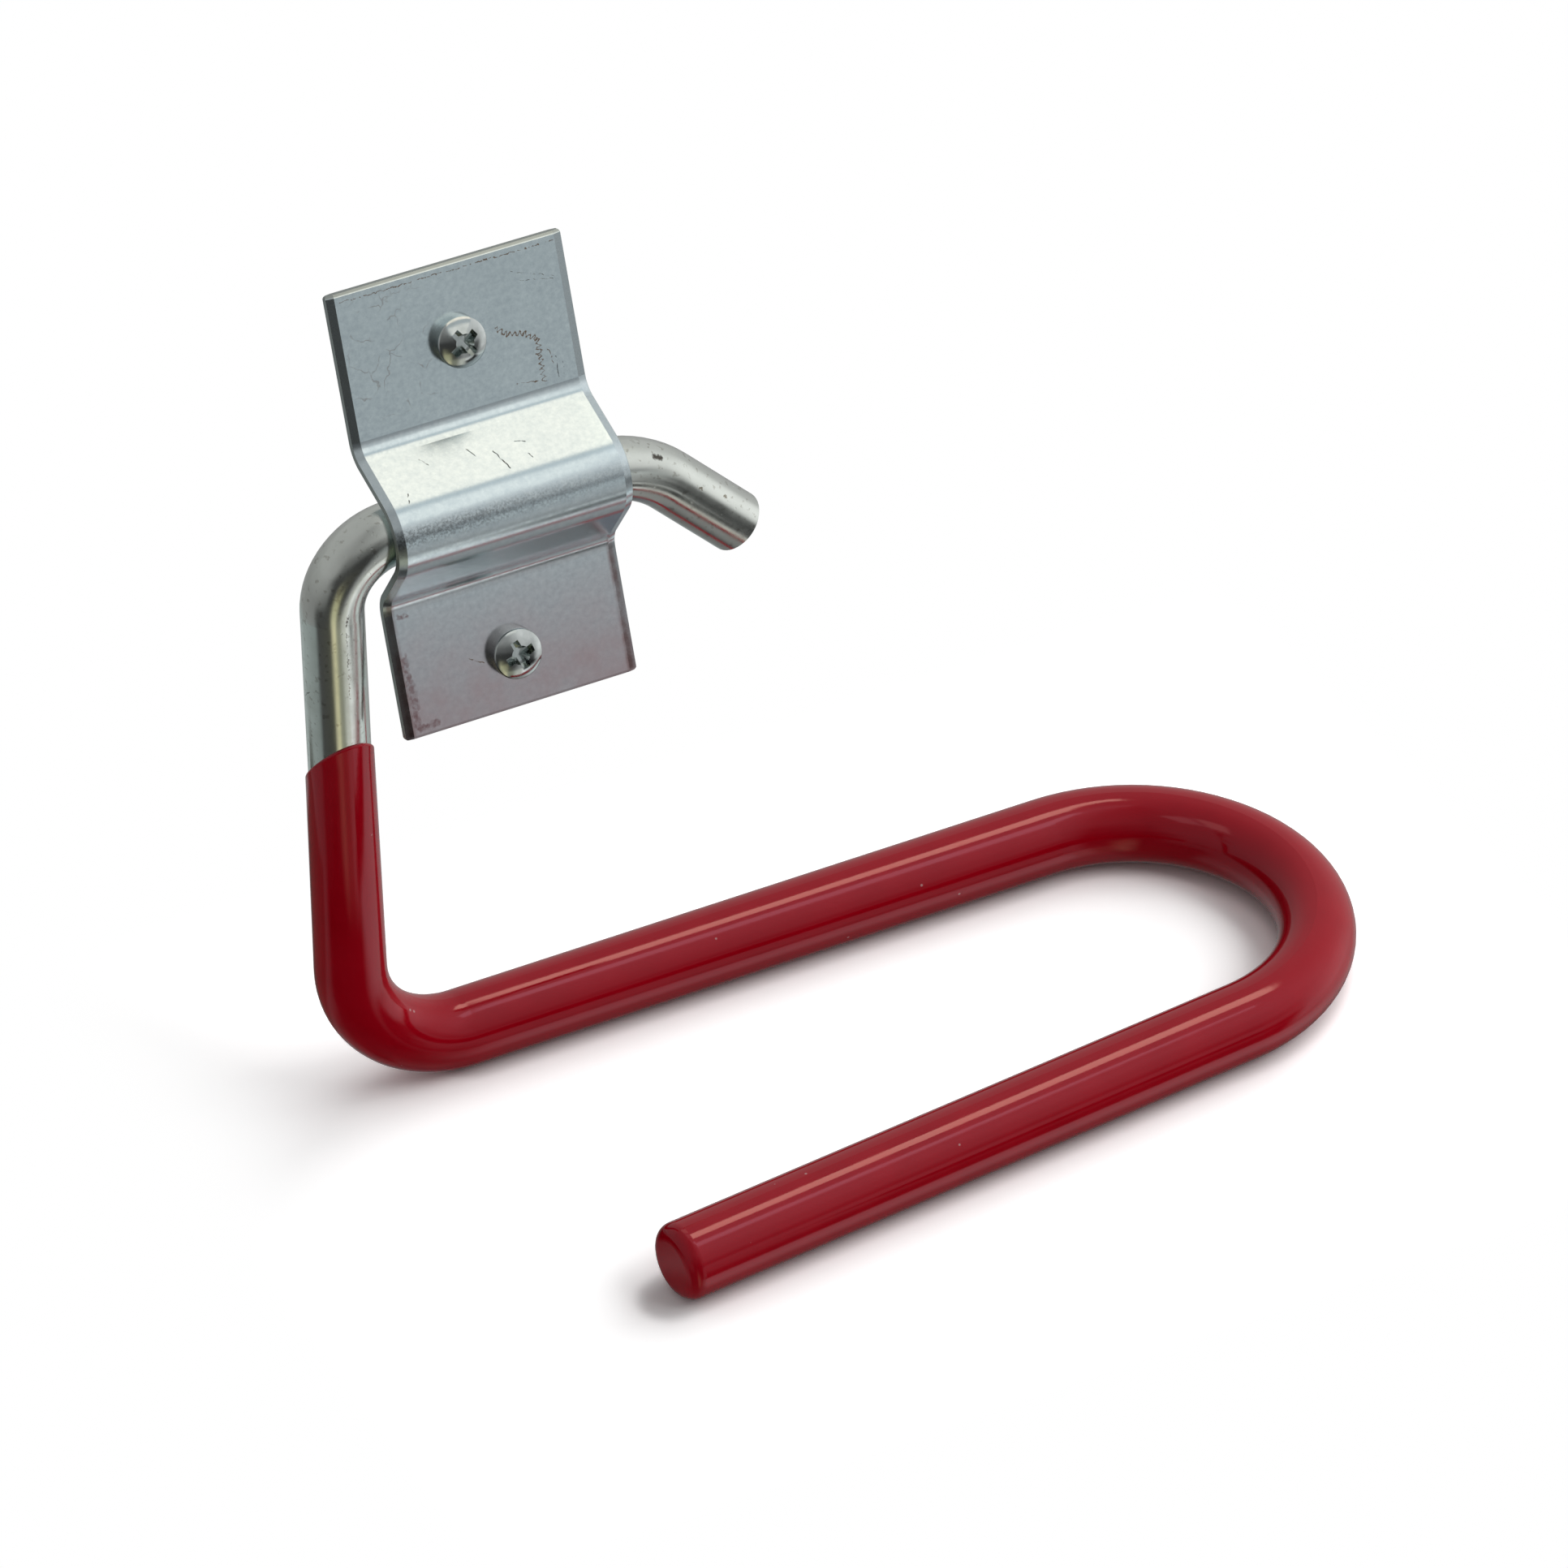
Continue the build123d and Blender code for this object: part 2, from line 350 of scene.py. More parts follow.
@dataclass(frozen=True)
class ZincedRod(Finish):
    """Drawn steel rod, bright zinc-plated: clear reflections, drawn out in fine lines along the rod."""

    name: str = "drawn steel rod, bright zinc-plated"
    bright: str = "#E6EAE5"
    dull: str = "#D3D9D2"
    nick: str = "#57544E"
    smudge: str = "#8E897C"
    roughness: float = 0.15
    gloss_swing: Pair = (0.08, -0.02)
    line_mm: float = 0.35  # real drawing lines are finer: this coarse they show
    line_length_mm: float = 14.0
    line_depth_mm: float = 0.012
    line_bump: float = 0.2
    patch_mm: float = 4.0
    pit_mm: float = 2.2
    pit_edge: Pair = (0.09, 0.05)
    pit_depth_mm: float = 0.03
    pit_bump: float = 0.35
    speck_mm: float = 1.1
    speck_edge: Pair = (0.6, 0.68)
    speck_share: float = 0.4
    mark_shake: Pair = (2.5, 0.9)
    leg_side: Pair = (-15.0, -21.0)
    marks: tuple[Mark, ...] = ROD_MARKS
    radius: float = 5.0
    leg_top: Point = (-28.28, -5.04, 1.64)
    tail_start: Point = (15.63, -5.04, 1.64)
    tail_bend: float = 20.0
    tail_drop_deg: float = 45.0

    def point(self, face: Face, place: Pair) -> Vector:
        """Find a place on the rod.

        Args:
            face: The leg, or the tail with its bend.
            place: Round the rod from its front line, and along it, in mm.

        Returns:
            Its point in the row's frame, in mm.
        """
        turn, along = place[0] / self.radius, place[1]
        front = self.radius * math.cos(turn)
        if face is Face.LEG:
            x, y, z = self.leg_top
            return Vector((x + self.radius * math.sin(turn), y - front, z - along))
        x, y, z = self.tail_start
        bent = min(along / self.tail_bend, math.radians(self.tail_drop_deg))
        reach, straight = self.tail_bend + self.radius * math.sin(turn), along - self.tail_bend * bent
        return Vector((
            x + reach * math.sin(bent) + straight * math.cos(bent), y - front,
            z - self.tail_bend + reach * math.cos(bent) - straight * math.sin(bent)))

    def surface(self, tree: Tree) -> Socket:
        """Add the rod's nodes.

        Args:
            tree: The material's node tree.

        Returns:
            The shader socket.
        """
        place = add_node(tree, "TexCoord").outputs["Object"]
        axes = add_node(tree, "SeparateXYZ", {0: place})
        fine, long = 1 / (self.line_mm * MM), 1 / (self.line_length_mm * MM)
        upright = add_node(tree, "Mapping", {"Vector": place, "Scale": (fine, fine, long)})
        level = add_node(tree, "Mapping", {"Vector": place, "Scale": (long, fine, fine)})
        on_leg = add_node(tree, "MapRange", {
            "Value": axes.outputs["X"], "From Min": self.leg_side[0] * MM, "From Max": self.leg_side[1] * MM})
        along = add_node(tree, "Mix", {
            0: on_leg.outputs["Result"], 4: level.outputs["Vector"], 5: upright.outputs["Vector"]}, data_type="VECTOR")
        lines = add_node(tree, "TexNoise", {"Vector": along.outputs[1], "Scale": 1.0, "Detail": 4.0, "Roughness": 0.6})
        patches, specks = (add_node(tree, "TexNoise", {
            "Vector": place, "Scale": 1 / (size * MM), "Detail": detail}).outputs["Fac"]
            for size, detail in ((self.patch_mm, 5.0), (self.speck_mm, 4.0)))
        pits = add_node(tree, "TexVoronoi", {"Vector": place, "Scale": 1 / (self.pit_mm * MM)})
        pocks = add_node(tree, "MapRange", {
            "Value": pits.outputs["Distance"], "From Min": self.pit_edge[0], "From Max": self.pit_edge[1]})
        dirty = add_node(tree, "MapRange", {
            "Value": specks, "From Min": self.speck_edge[0], "From Max": self.speck_edge[1],
            "To Max": self.speck_share}).outputs["Result"]
        spot = add_node(tree, "Mapping", {"Vector": place, "Scale": PER_MM}).outputs["Vector"]
        ragged = shaken(tree, spot, *self.mark_shake, detail=3.0)
        layers = (
            (dirty, self.smudge),
            (draw_marks(tree, ragged, self.marks, MarkKind.STAIN, self.point), self.smudge),
            (draw_marks(tree, ragged, self.marks, MarkKind.SCRATCH, self.point), self.nick),
        )
        tone = add_node(tree, "Mix", {
            0: patches, 6: linear(self.dull), 7: linear(self.bright)}, data_type="RGBA").outputs[2]
        for share, colour in layers:
            tone = add_node(tree, "Mix", {0: share, 6: tone, 7: linear(colour)}, data_type="RGBA").outputs[2]
        gloss = add_node(tree, "MapRange", {
            "Value": patches, "From Min": NOISE_SPAN[0], "From Max": NOISE_SPAN[1],
            "To Min": self.roughness + self.gloss_swing[0], "To Max": self.roughness + self.gloss_swing[1]})
        drawn = add_node(tree, "Bump", {
            "Height": lines.outputs["Fac"], "Strength": self.line_bump, "Distance": self.line_depth_mm * MM})
        pocked = add_node(tree, "Bump", {
            "Height": pocks.outputs["Result"], "Normal": drawn.outputs["Normal"], "Strength": self.pit_bump,
            "Distance": self.pit_depth_mm * MM}, invert=True)
        return add_node(tree, "BsdfPrincipled", {
            "Base Color": tone, "Metallic": 1.0, "Roughness": gloss.outputs["Result"],
            "Normal": pocked.outputs["Normal"]}).outputs["BSDF"]


@dataclass(frozen=True)
class ZincedSheet(Finish):
    """Rolled steel sheet, zinc-plated after folding: satin, mottled, and scratched where it is handled. Sizes in mm."""

    name: str = "rolled steel sheet, zinc-plated and folded"
    pale: str = "#E0ECEF"
    cloudy: str = "#CAD8DE"
    # Violet on the lower flange: partly the plating's passivation tint, partly a painted reflection of the red bars
    # below
    violet_tint_and_red_reflection: str = "#C4B0B4"
    rust: str = "#8C6A68"
    scratch: str = "#4A4A48"
    streak: str = "#7E5052"
    stain: str = "#86705F"
    sheared: str = "#A8B0AE"
    roughness: float = 0.2
    gloss_swing: Pair = (0.05, -0.03)
    edge_dulling: float = 0.3
    cloud_mm: float = 5.5
    cloud_depth_mm: float = 0.06
    cloud_bump: float = 0.15
    mottle_mm: float = 0.9
    mottle_swing: Pair = (-0.32, 0.32)
    grain_mm: float = 0.4  # real plating has a finer grain: this coarse it shows
    grain_depth_mm: float = 0.012
    grain_bump: float = 0.4
    scratch_depth_mm: float = 0.04
    scratch_bump: float = 0.5
    crackle_mm: float = 5.0
    crackle_shake: Pair = (0.5, 2.2)
    crackle_edge: Pair = (0.024, 0.008)
    crackle_gap_mm: float = 2.857
    crackle_share: float = 0.35
    crackle_across: Pair = (-18.0, -5.0)
    crackle_up: Pair = (17.0, 36.0)
    rim_inset: Pair = (1.6, 0.5)
    rim_up: Pair = (-34.2, -12.0)
    crown_up: Pair = (-0.6, 2.2)
    crown_out: Pair = (11.0, 14.0)
    rubbed_across: Pair = (16.0, -12.0)
    violet_reflection_up: Pair = (-9.0, -30.0)
    violet_reflection_share: float = 0.85
    half_width: float = 20.0
    thickness: float = SHEET_MM
    slope_top: float = 12.4
    slope_deg: float = 53.0
    top: float = 37.5
    lean_deg: float = LEAN_DEG
    marks: tuple[Mark, ...] = SHEET_MARKS

    def point(self, face: Face, place: Pair) -> Vector:
        """Find a place on one of the sheet's faces.

        Args:
            face: A flange or the upper slope.
            place: Across the strip, and up the flange or down the slope, in mm.

        Returns:
            Its point in the bracket's own frame, in mm.
        """
        across, along = place
        if face is Face.FLANGE:
            return Vector((across, along, self.thickness))
        fall = math.radians(self.slope_deg)
        return Vector((across, self.slope_top - along * math.cos(fall), self.thickness + along * math.sin(fall)))

    def crackle(self, tree: Tree, place: Socket, across: Socket, up: Socket) -> Socket:
        """Craze the plating on the left of the upper flange in thin broken lines.

        Args:
            tree: The material's node tree.
            place: Place on the sheet, in mm.
            across: Its place across the strip.
            up: Its place up the strip.

        Returns:
            A socket that is 1 on a line and 0 off it.
        """
        uneven = shaken(tree, place, *self.crackle_shake)
        cells = add_node(tree, "TexVoronoi", {
            "Vector": uneven, "Scale": 1 / self.crackle_mm}, feature="DISTANCE_TO_EDGE")
        line = add_node(tree, "MapRange", {
            "Value": cells.outputs["Distance"], "From Min": self.crackle_edge[0],
            "From Max": self.crackle_edge[1]}).outputs["Result"]
        gaps = add_node(tree, "TexNoise", {"Vector": place, "Scale": 1 / self.crackle_gap_mm, "Detail": 3.0})
        kept = add_node(tree, "MapRange", {
            "Value": gaps.outputs["Fac"], "From Min": 0.48, "From Max": 0.58}).outputs["Result"]
        total = line
        sides = (between(tree, axis, *limits, 1.5)
                 for axis, limits in ((across, self.crackle_across), (up, self.crackle_up)))
        for share in (kept, *sides):
            total = add_node(tree, "Math", {0: total, 1: share}, operation="MULTIPLY").outputs[0]
        return total

    def rusty(self, tree: Tree, across: Socket, up: Socket, clouds: Socket) -> Socket:
        """Darken the lower flange's rims in a thin reddish line.

        Args:
            tree: The material's node tree.
            across: Place across the strip, in mm.
            up: Place up the strip, in mm.
            clouds: Slow noise that makes the line uneven.

        Returns:
            A socket that is 1 on the line and 0 off it.
        """
        distance = add_node(tree, "Math", {0: across}, operation="ABSOLUTE").outputs[0]
        rim = between(tree, distance, *(self.half_width - inset for inset in self.rim_inset), 0.35)
        flange = between(tree, up, *self.rim_up, 0.5)
        patchy = add_node(tree, "MapRange", {
            "Value": clouds, "From Min": 0.35, "From Max": 0.6, "To Min": 0.15, "To Max": 0.75}).outputs["Result"]
        lined = add_node(tree, "Math", {0: rim, 1: flange}, operation="MULTIPLY").outputs[0]
        return add_node(tree, "Math", {0: lined, 1: patchy}, operation="MULTIPLY").outputs[0]

    def rubbed(self, tree: Tree, across: Socket, up: Socket, out: Socket, grain: Socket) -> Socket:
        """Speckle the saddle's crown, where the plating is rubbed, more on its left.

        Args:
            tree: The material's node tree.
            across: Place across the strip, in mm.
            up: Place up the strip, in mm.
            out: Distance from the wall, in mm.
            grain: Fine noise that breaks the band into specks.

        Returns:
            A socket that is 1 on a speck and 0 off it.
        """
        crown = between(tree, up, *self.crown_up, 0.7)
        front = between(tree, out, *self.crown_out, 0.5)
        left = add_node(tree, "MapRange", {
            "Value": across, "From Min": self.rubbed_across[0], "From Max": self.rubbed_across[1],
            "To Min": 0.15, "To Max": 0.5}).outputs["Result"]
        specks = add_node(tree, "MapRange", {
            "Value": grain, "From Min": 0.42, "From Max": 0.6}).outputs["Result"]
        total = crown
        for share in (front, left, specks):
            total = add_node(tree, "Math", {0: total, 1: share}, operation="MULTIPLY").outputs[0]
        return total

    def surface(self, tree: Tree) -> Socket:
        """Add the sheet's nodes.

        Args:
            tree: The material's node tree.

        Returns:
            The shader socket.
        """
        row = add_node(tree, "TexCoord").outputs["Object"]
        place = add_node(tree, "Mapping", {
            "Vector": row, "Rotation": (math.radians(self.lean_deg - 90), 0, 0),
            "Scale": PER_MM}).outputs["Vector"]
        across, up, out = add_node(tree, "SeparateXYZ", {0: place}).outputs
        clouds, mottle, grain = (add_node(tree, "TexNoise", {
            "Vector": place, "Scale": 1 / size, "Detail": 5.0, "Roughness": 0.62}).outputs["Fac"]
            for size in (self.cloud_mm, self.mottle_mm, self.grain_mm))
        scratches, stains, streaks = (
            draw_marks(tree, shaken(tree, place, scale, throw), self.marks, kind, self.point)
            for kind, scale, throw in (
                (MarkKind.SCRATCH, 0.8, 0.7), (MarkKind.STAIN, 1.2, 0.9), (MarkKind.RUST, 0.9, 1.6)))
        blotches = add_node(tree, "MapRange", {
            "Value": mottle, "From Min": 0.36, "From Max": 0.62, "To Min": 0.15, "To Max": 0.75}).outputs["Result"]
        smeared = add_node(tree, "Math", {0: streaks, 1: blotches}, operation="MULTIPLY").outputs[0]
        cloud_share = add_node(tree, "Math", {0: clouds, 1: 0.65, 2: 0.18}, operation="MULTIPLY_ADD").outputs[0]
        fleck = add_node(tree, "MapRange", {
            "Value": mottle, "From Min": NOISE_SPAN[0], "From Max": NOISE_SPAN[1],
            "To Min": self.mottle_swing[0], "To Max": self.mottle_swing[1]}).outputs["Result"]
        shade = add_node(tree, "Math", {0: cloud_share, 1: fleck}, operation="ADD", use_clamp=True).outputs[0]
        # The lower flange turns violet towards its bottom: partly passivation tint, partly a painted reflection of the
        # red bars below
        reflection_lowness = add_node(tree, "MapRange", {
            "Value": up, "From Min": self.violet_reflection_up[0], "From Max": self.violet_reflection_up[1],
            "To Max": self.violet_reflection_share}).outputs["Result"]
        patchy = add_node(tree, "MapRange", {
            "Value": clouds, "From Min": 0.35, "From Max": 0.65, "To Min": 0.75, "To Max": 1.08}).outputs["Result"]
        low = add_node(tree, "Math", {0: reflection_lowness, 1: patchy}, operation="MULTIPLY", use_clamp=True).outputs[0]
        crazed = add_node(tree, "Math", {
            0: self.crackle(tree, place, across, up), 1: self.crackle_share}, operation="MULTIPLY").outputs[0]
        layers = (
            (low, self.violet_tint_and_red_reflection),
            (self.rusty(tree, across, up, clouds), self.rust),
            (crazed, self.stain),
            (smeared, self.streak),
            (self.rubbed(tree, across, up, out, grain), self.scratch),
            (stains, self.stain),
            (scratches, self.scratch),
        )
        tone = add_node(tree, "Mix", {
            0: shade, 6: linear(self.cloudy), 7: linear(self.pale)}, data_type="RGBA").outputs[2]
        for share, colour in layers:
            tone = add_node(tree, "Mix", {0: share, 6: tone, 7: linear(colour)}, data_type="RGBA").outputs[2]
        distance = add_node(tree, "Math", {0: across}, operation="ABSOLUTE").outputs[0]
        side = between(tree, distance, self.half_width - 0.04, self.half_width + 1, 0.02)
        end = between(tree, up, self.top, self.top + 2, 0.15)
        edge = add_node(tree, "Math", {0: side, 1: end}, operation="MAXIMUM").outputs[0]
        tone = add_node(tree, "Mix", {0: edge, 6: tone, 7: linear(self.sheared)}, data_type="RGBA").outputs[2]
        gloss = add_node(tree, "MapRange", {
            "Value": shade, "To Min": self.roughness + self.gloss_swing[0],
            "To Max": self.roughness + self.gloss_swing[1]}).outputs["Result"]
        dulled = add_node(tree, "Math", {
            0: edge, 1: self.edge_dulling, 2: gloss}, operation="MULTIPLY_ADD").outputs[0]
        waves = add_node(tree, "Bump", {
            "Height": clouds, "Strength": self.cloud_bump, "Distance": self.cloud_depth_mm * MM})
        grained = add_node(tree, "Bump", {
            "Height": grain, "Normal": waves.outputs["Normal"], "Strength": self.grain_bump,
            "Distance": self.grain_depth_mm * MM})
        cut = add_node(tree, "Bump", {
            "Height": scratches, "Normal": grained.outputs["Normal"], "Strength": self.scratch_bump,
            "Distance": self.scratch_depth_mm * MM}, invert=True)
        return add_node(tree, "BsdfPrincipled", {
            "Base Color": tone, "Metallic": 1.0, "Roughness": dulled,
            "Normal": cut.outputs["Normal"]}).outputs["BSDF"]


@dataclass(frozen=True)
class ZincedScrew(Finish):
    """Cold-formed steel screw, bright zinc-plated: clear, slightly uneven reflections."""

    name: str = "cold-formed screw, bright zinc-plated"
    bright: str = "#D6DBDA"
    dull: str = "#AEB5B3"
    roughness: float = 0.13
    gloss_swing: Pair = (0.06, -0.03)
    patch_mm: float = 1.5
    patch_depth_mm: float = 0.04
    bump: float = 0.25

    def surface(self, tree: Tree) -> Socket:
        """Add the screw's nodes.

        Args:
            tree: The material's node tree.

        Returns:
            The shader socket.
        """
        place = add_node(tree, "TexCoord").outputs["Object"]
        patches = add_node(tree, "TexNoise", {"Vector": place, "Scale": 1 / (self.patch_mm * MM), "Detail": 4.0})
        tone = add_node(tree, "Mix", {
            0: patches.outputs["Fac"], 6: linear(self.dull), 7: linear(self.bright)}, data_type="RGBA")
        gloss = add_node(tree, "MapRange", {
            "Value": patches.outputs["Fac"], "From Min": NOISE_SPAN[0], "From Max": NOISE_SPAN[1],
            "To Min": self.roughness + self.gloss_swing[0], "To Max": self.roughness + self.gloss_swing[1]})
        uneven = add_node(tree, "Bump", {
            "Height": patches.outputs["Fac"], "Strength": self.bump, "Distance": self.patch_depth_mm * MM})
        return add_node(tree, "BsdfPrincipled", {
            "Base Color": tone.outputs[2], "Metallic": 1.0, "Roughness": gloss.outputs["Result"],
            "Normal": uneven.outputs["Normal"]}).outputs["BSDF"]


@dataclass(frozen=True)
class Footprint:
    """Where the bars lie on the table: two runs joined by a U bend, the front one splayed. Sizes in mm."""

    bend: Pair = (96.7, -34.5)
    radius: float = 29.5
    splay_deg: float = 6.0
    start: float = -8.0

    def distance(self, tree: Tree) -> Socket:
        """Measure how far a place on the table is from the bars' centre line.

        Args:
            tree: The material's node tree.

        Returns:
            The distance, in mm.
        """
        place = add_node(tree, "Mapping", {
            "Vector": add_node(tree, "TexCoord").outputs["Object"], "Scale": (1 / MM, 1 / MM, 0)}).outputs["Vector"]
        across, along, _ = add_node(tree, "SeparateXYZ", {0: place}).outputs
        middle_x, middle_y = self.bend
        past = add_node(tree, "Math", {0: across, 1: middle_x}, operation="SUBTRACT").outputs[0]
        round_bend = add_node(tree, "Math", {0: past, 1: 0.0}, operation="MAXIMUM").outputs[0]
        before = add_node(tree, "Math", {0: past, 1: 0.0}, operation="MINIMUM").outputs[0]
        in_front = add_node(tree, "Math", {0: along, 1: middle_y}, operation="LESS_THAN").outputs[0]
        splayed = add_node(tree, "Math", {0: before, 1: in_front}, operation="MULTIPLY").outputs[0]
        straight = add_node(tree, "Math", {
            0: splayed, 1: -math.tan(math.radians(self.splay_deg)), 2: along}, operation="MULTIPLY_ADD").outputs[0]
        off = add_node(tree, "Math", {0: straight, 1: middle_y}, operation="SUBTRACT").outputs[0]
        spread = add_node(tree, "CombineXYZ", {"X": round_bend, "Y": off}).outputs["Vector"]
        reach = add_node(tree, "VectorMath", {0: spread}, operation="LENGTH").outputs["Value"]
        aside = add_node(tree, "Math", {0: reach, 1: self.radius}, operation="SUBTRACT").outputs[0]
        short = add_node(tree, "Math", {0: self.start, 1: across}, operation="SUBTRACT").outputs[0]
        beyond = add_node(tree, "Math", {0: short, 1: 0.0}, operation="MAXIMUM").outputs[0]
        gap = add_node(tree, "CombineXYZ", {"X": beyond, "Y": aside}).outputs["Vector"]
        return add_node(tree, "VectorMath", {0: gap}, operation="LENGTH").outputs["Value"]


@dataclass(frozen=True)
class PaleTable(Finish):
    """Matt white board: to the eye, painted shade deepens the soft shadows near the bars and a white glow paints them
    out further off; shiny surfaces see a painted dark shade round the bars.

    Sizes are in mm.
    """

    name: str = "white board, matt"
    white: str = "#E8E8E8"
    # Painted shade that shiny surfaces see round the bars
    dark: str = "#5E5E5E"
    # Painted brightness to the eye: below the lit level near the bars, deepening their shadows, and above white further
    # off
    painted_near_brightness: float = 1.0
    painted_far_brightness: float = 1.45
    contact: Pair = (4.0, 7.0)
    mirrored: Pair = (-10.0, 7.0)
    mirrored_soft: float = 3.0
    shadow_across: Pair = (-50.0, 150.0)
    shadow_along: Pair = (-110.0, 40.0)
    soft: float = 14.0
    footprint: Footprint = Footprint()

    def surface(self, tree: Tree) -> Socket:
        """Add the board's nodes.

        Args:
            tree: The material's node tree.

        Returns:
            The shader socket.
        """
        away = self.footprint.distance(tree)
        near, far = self.contact
        # Painted shade: close to the bars the board is darker to the eye, further off brighter than white
        level = add_node(tree, "MapRange", {
            "Value": away, "From Min": near, "From Max": far, "To Min": self.painted_near_brightness,
            "To Max": self.painted_far_brightness}, interpolation_type="SMOOTHSTEP").outputs["Result"]
        axes = add_node(tree, "SeparateXYZ", {0: add_node(tree, "TexCoord").outputs["Object"]}).outputs
        # Outside this patch the board glows plain white to the eye, which paints out shadows far from the object
        sides = [between(tree, axis, least * MM, most * MM, self.soft * MM)
                 for axis, (least, most) in zip(axes, (self.shadow_across, self.shadow_along))]
        inside = add_node(tree, "Math", {0: sides[0], 1: sides[1]}, operation="MULTIPLY").outputs[0]
        plain = add_node(tree, "BsdfDiffuse", {"Color": linear(self.white)}).outputs["BSDF"]
        shaded = add_node(tree, "BsdfDiffuse", {"Color": level}).outputs["BSDF"]
        bare = add_node(tree, "Emission", {"Color": linear(WHITE), "Strength": 1.0}).outputs["Emission"]
        seen = add_node(tree, "MixShader", {0: inside, 1: bare, 2: shaded}).outputs[0]
        clear = add_node(tree, "BsdfTransparent").outputs["BSDF"]
        # Painted shade in reflections: shiny surfaces see a dark patch round the bars, and see through the board
        # elsewhere
        painted_shade_mirrored = add_node(tree, "Emission", {"Color": linear(self.dark), "Strength": 1.0}).outputs["Emission"]
        under = between(tree, away, *self.mirrored, self.mirrored_soft)
        shiny = add_node(tree, "MixShader", {0: under, 1: clear, 2: painted_shade_mirrored}).outputs[0]
        rays = add_node(tree, "LightPath").outputs
        lit = add_node(tree, "MixShader", {0: rays["Is Glossy Ray"], 1: plain, 2: shiny}).outputs[0]
        return add_node(tree, "MixShader", {0: rays["Is Camera Ray"], 1: lit, 2: seen}).outputs[0]


@dataclass(frozen=True)
class FeatheredCard(Finish):
    """Card with a feathered edge that glows evenly at its colour, though it is no lamp: shiny surfaces show it as a
    soft patch, a painted reflection. Sizes in mm.
    """

    name: str = "glowing card, feathered"
    colour: str = WHITE
    strength: float = 1.0
    across: Pair = (0.0, 1.0)
    along: Pair = (0.0, 1.0)
    soft: float = 6.0

    def surface(self, tree: Tree) -> Socket:
        """Add the card's nodes.

        Args:
            tree: The material's node tree.

        Returns:
            The shader socket.
        """
        axes = add_node(tree, "SeparateXYZ", {0: add_node(tree, "TexCoord").outputs["Object"]})
        sides = [between(tree, axes.outputs[axis], (least + self.soft) * MM, (most - self.soft) * MM, self.soft * MM)
                 for axis, (least, most) in (("X", self.across), ("Y", self.along))]
        whole = add_node(tree, "Math", {0: sides[0], 1: sides[1]}, operation="MULTIPLY").outputs[0]
        clear = add_node(tree, "BsdfTransparent").outputs["BSDF"]
        lit = add_node(tree, "Emission", {"Color": linear(self.colour), "Strength": self.strength}).outputs["Emission"]
        return add_node(tree, "MixShader", {0: whole, 1: clear, 2: lit}).outputs[0]


@dataclass
class DressedNode:
    """A CAD node that keeps its shape and gets a finish."""

    node: str
    body: Body
    finish: Finish

    def dress(self) -> bpy.types.Object:
        """Put the finish on the node.

        Returns:
            The node's object.
        """
        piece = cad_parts[self.node]
        piece.data.materials.clear()
        piece.data.materials.append(self.finish.material())
        LOG.info("%s on the %s: %s", self.node, self.body.value, self.finish.name)
        return piece


@dataclass
class HookRod(DressedNode):
    """The bent rod."""

    node: str = "hook_rod"
    body: Body = Body.HOOK
    finish: Finish = ZincedRod()


@dataclass
class GripCoat(DressedNode):
    """The dipped coat on the rod's lower part."""

    node: str = "grip_coat"
    body: Body = Body.HOOK
    finish: Finish = DippedVinyl()


@dataclass
class SaddleBracket(DressedNode):
    """The folded bracket that the rod turns in."""

    node: str = "saddle_bracket"
    body: Body = Body.BRACKET
    finish: Finish = ZincedSheet()


